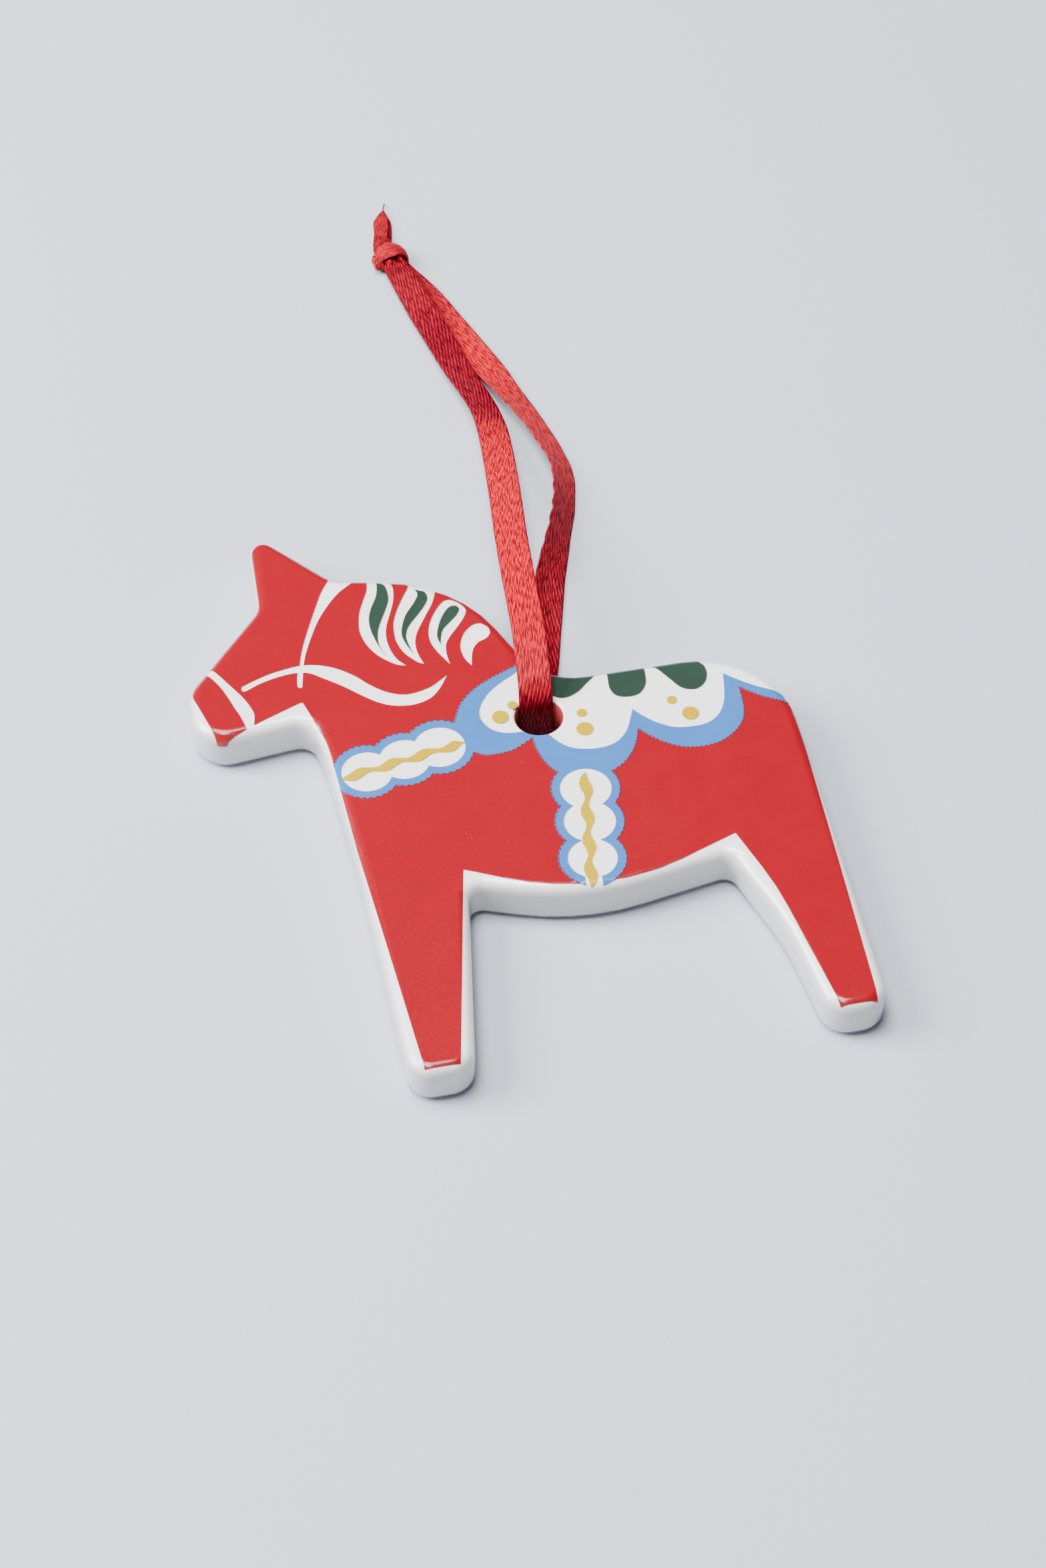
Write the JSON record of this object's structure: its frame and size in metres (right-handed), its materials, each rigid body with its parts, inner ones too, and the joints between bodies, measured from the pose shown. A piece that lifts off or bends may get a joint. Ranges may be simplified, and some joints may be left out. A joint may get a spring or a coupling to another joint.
{
  "type": "horse ornament",
  "caption": "Flat glazed ceramic dala horse with a printed front, hung by a knotted satin ribbon through a hole at its withers.",
  "frame": {"origin": "middle of the plate's outline, at the level of its flat back", "axes": "+X from the nose to the rump, +Y from the hooves to the ear, +Z out of the printed face, with the horse lying on its back"},
  "size_m": [0.0698, 0.1455, 0.0096],
  "materials": {
    "glaze": "glossy white glaze",
    "red_print": "glossy fired red print",
    "blue_print": "glossy fired light blue print",
    "green_print": "glossy fired dark green print",
    "yellow_print": "glossy fired yellow print",
    "satin": "red satin, shinier on one side"
  },
  "bodies": {
    "root": {"horse_body": "glaze", "red_muzzle": "red_print", "red_head_neck": "red_print", "red_foreleg": "red_print", "red_hindquarter": "red_print", "blue_chest_strap": "blue_print", "blue_saddle_border": "blue_print", "blue_girth_strap": "blue_print", "green_mane_strokes": "green_print", "green_saddle_drops": "green_print", "yellow_chest_line": "yellow_print", "yellow_girth_line": "yellow_print", "yellow_saddle_dots": "yellow_print", "ribbon_loop": "satin", "ribbon_knot": "satin", "ribbon_tails": "satin"}
  },
  "joints": []
}
